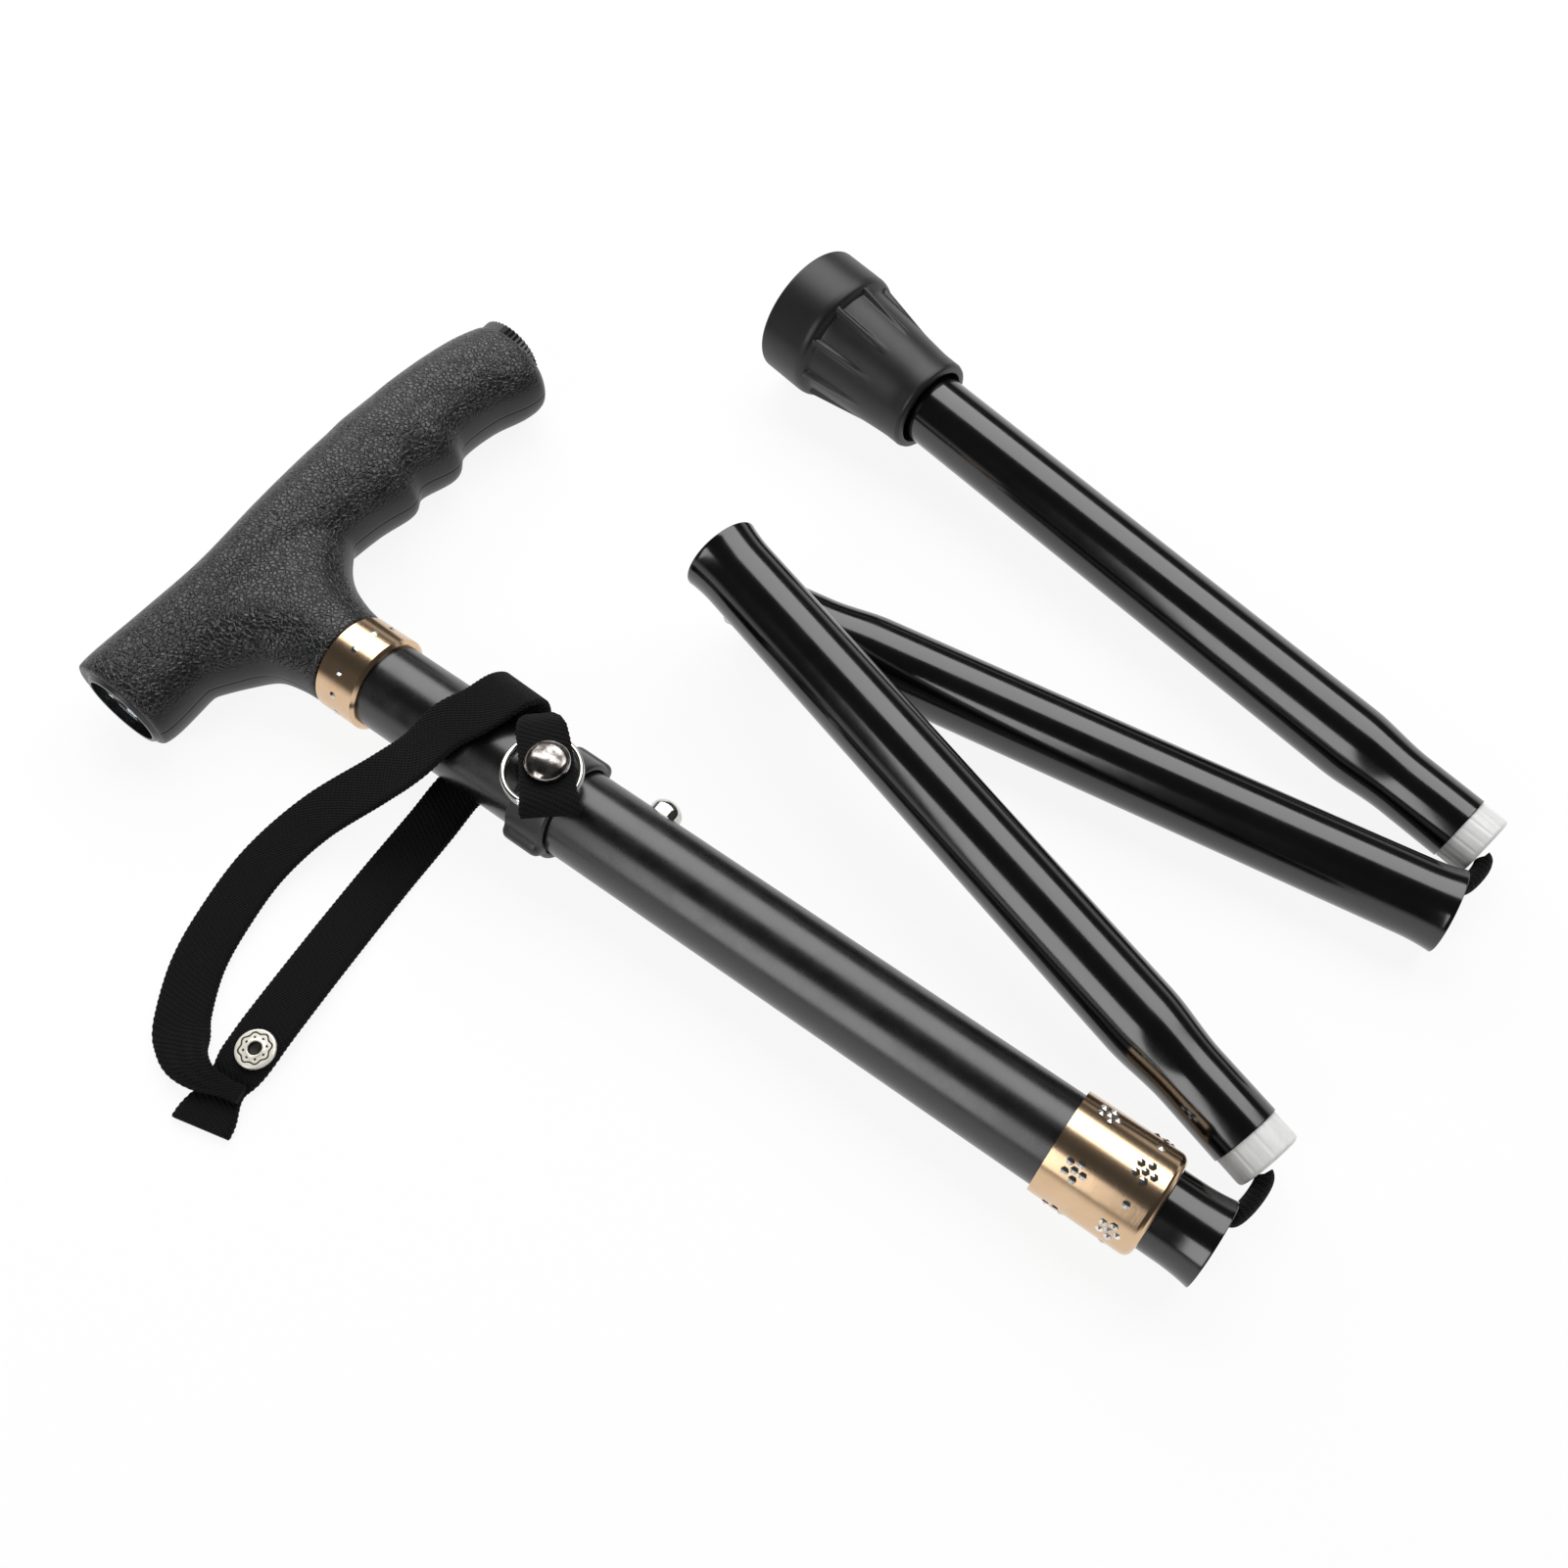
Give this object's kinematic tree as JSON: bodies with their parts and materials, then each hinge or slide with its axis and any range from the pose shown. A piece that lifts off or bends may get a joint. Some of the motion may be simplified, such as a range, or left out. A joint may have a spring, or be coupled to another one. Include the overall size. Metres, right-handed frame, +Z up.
{
  "type": "folding cane",
  "caption": "Folding walking cane with a T-shaped torch handle, gold collars, wrist strap, rubber tip and socketed black tube sections strung on elastic cord.",
  "frame": {"origin": "middle of the underside of the whole cane's box as it lies partly folded on a table", "axes": "+X runs along the upper shaft from the handle to its mouth, +Y from the lens end of the handle to its knob end, +Z up from the table"},
  "size_m": [0.3036, 0.2782, 0.0415],
  "materials": {
    "leather_grip": "black pebble-grain wrap",
    "gold": "bright champagne gold, dot-cut",
    "torch_metal": "satin black",
    "lens": "clear",
    "bright_metal": "polished",
    "board": "printed board with one lamp",
    "cells": "sleeved cells",
    "black_tube": "gloss black over drawn tube",
    "nylon": "milky white",
    "clip_plastic": "satin black",
    "webbing": "black woven tape",
    "elastic": "black braided elastic",
    "tip_rubber": "matt black, moulded"
  },
  "bodies": {
    "upper_shaft": {"handle": "leather_grip", "handle_band": "gold", "torch_bezel": "torch_metal", "torch_lens": "lens", "torch_reflector": "bright_metal", "led_board": "board", "torch_barrel": "torch_metal", "torch_cells": "cells", "cell_spring": "bright_metal", "outer_tube": "black_tube", "shaft_collar": "gold", "guide_bush": "nylon", "strap_clip": "clip_plastic", "strap_ring": "bright_metal", "strap_tab": "webbing", "snap_cap": "bright_metal", "wrist_strap": "webbing", "strap_rivet": "bright_metal"},
    "torch_switch": {"torch_cap": "torch_metal"},
    "inner_shaft": {"inner_tube": "black_tube", "top_guide": "nylon", "cord_anchor": "nylon", "elastic_cord_1": "elastic", "snap_spring": "bright_metal"},
    "button": {"snap_button": "bright_metal"},
    "link_1": {"elastic_loop_1": "elastic"},
    "section_2": {"section_2_tube": "black_tube", "section_2_plug": "nylon", "elastic_cord_2": "elastic"},
    "link_2": {"elastic_loop_2_upper": "elastic"},
    "swing_link": {"elastic_loop_2_lower": "elastic"},
    "section_3": {"section_3_tube": "black_tube", "section_3_plug": "nylon", "elastic_cord_3": "elastic"},
    "link_3": {"elastic_loop_3": "elastic"},
    "section_4": {"section_4_tube": "black_tube", "section_4_plug": "nylon", "elastic_cord_4": "elastic", "tip_plug": "nylon", "cord_knot": "elastic", "tip_washer": "bright_metal", "rubber_tip": "tip_rubber"}
  },
  "joints": [
    {"name": "height_slide", "type": "slide", "parent": "upper_shaft", "child": "inner_shaft", "axis": [1, 0, 0], "range_m": [0, 0.1016], "deforming": ["snap_button"]},
    {"name": "button_press", "type": "slide", "parent": "inner_shaft", "child": "button", "axis": [0, -1, 0], "range_m": [0, 0.0054], "stiffness_N_per_m": 1200, "springref_m": -0.002, "deforming": ["snap_spring"]},
    {"name": "torch_twist", "type": "hinge", "parent": "upper_shaft", "child": "torch_switch", "pos_m": [-0.13501, -0.03401, 0.013], "axis": [0, 1, 0], "range_deg": [0, 90]},
    {"name": "seat_1", "type": "slide", "parent": "inner_shaft", "child": "link_1", "axis": [-1, 0, 0], "range_m": [0, 0.03], "deforming": ["elastic_loop_1", "elastic_cord_1"]},
    {"name": "fold_1", "type": "hinge", "parent": "link_1", "child": "section_2", "pos_m": [0.13789, -0.02321, 0.013], "axis": [-0.0506, 0, -0.9987], "range_deg": [-10, 165.3], "deforming": ["elastic_loop_1"]},
    {"name": "seat_2", "type": "slide", "parent": "section_2", "child": "link_2", "axis": [0.9622, -0.2534, -0.0994], "range_m": [0, 0.035], "deforming": ["elastic_loop_2_upper", "elastic_loop_2_lower", "elastic_cord_2"]},
    {"name": "swing_2", "type": "hinge", "parent": "link_2", "child": "swing_link", "pos_m": [-0.03316, 0.03301, 0.03081], "axis": [0.0994, -0.0128, 0.995], "range_deg": [0, 25], "deforming": ["elastic_loop_2_upper", "elastic_loop_2_lower"]},
    {"name": "fold_2", "type": "hinge", "parent": "swing_link", "child": "section_3", "pos_m": [-0.04088, 0.0387, 0.0209], "axis": [0.2752, 0.9613, -0.0151], "range_deg": [0, 186.1], "deforming": ["elastic_loop_2_lower"]},
    {"name": "seat_3", "type": "slide", "parent": "section_3", "child": "link_3", "axis": [-0.9909, -0.1345, -0.0005], "range_m": [0, 0.03], "deforming": ["elastic_loop_3", "elastic_cord_3"]},
    {"name": "fold_3", "type": "hinge", "parent": "link_3", "child": "section_4", "pos_m": [0.14443, 0.07355, 0.01014], "axis": [-0.0197, -0.0195, -0.9996], "range_deg": [-6, 162.5], "deforming": ["elastic_loop_3"]}
  ]
}
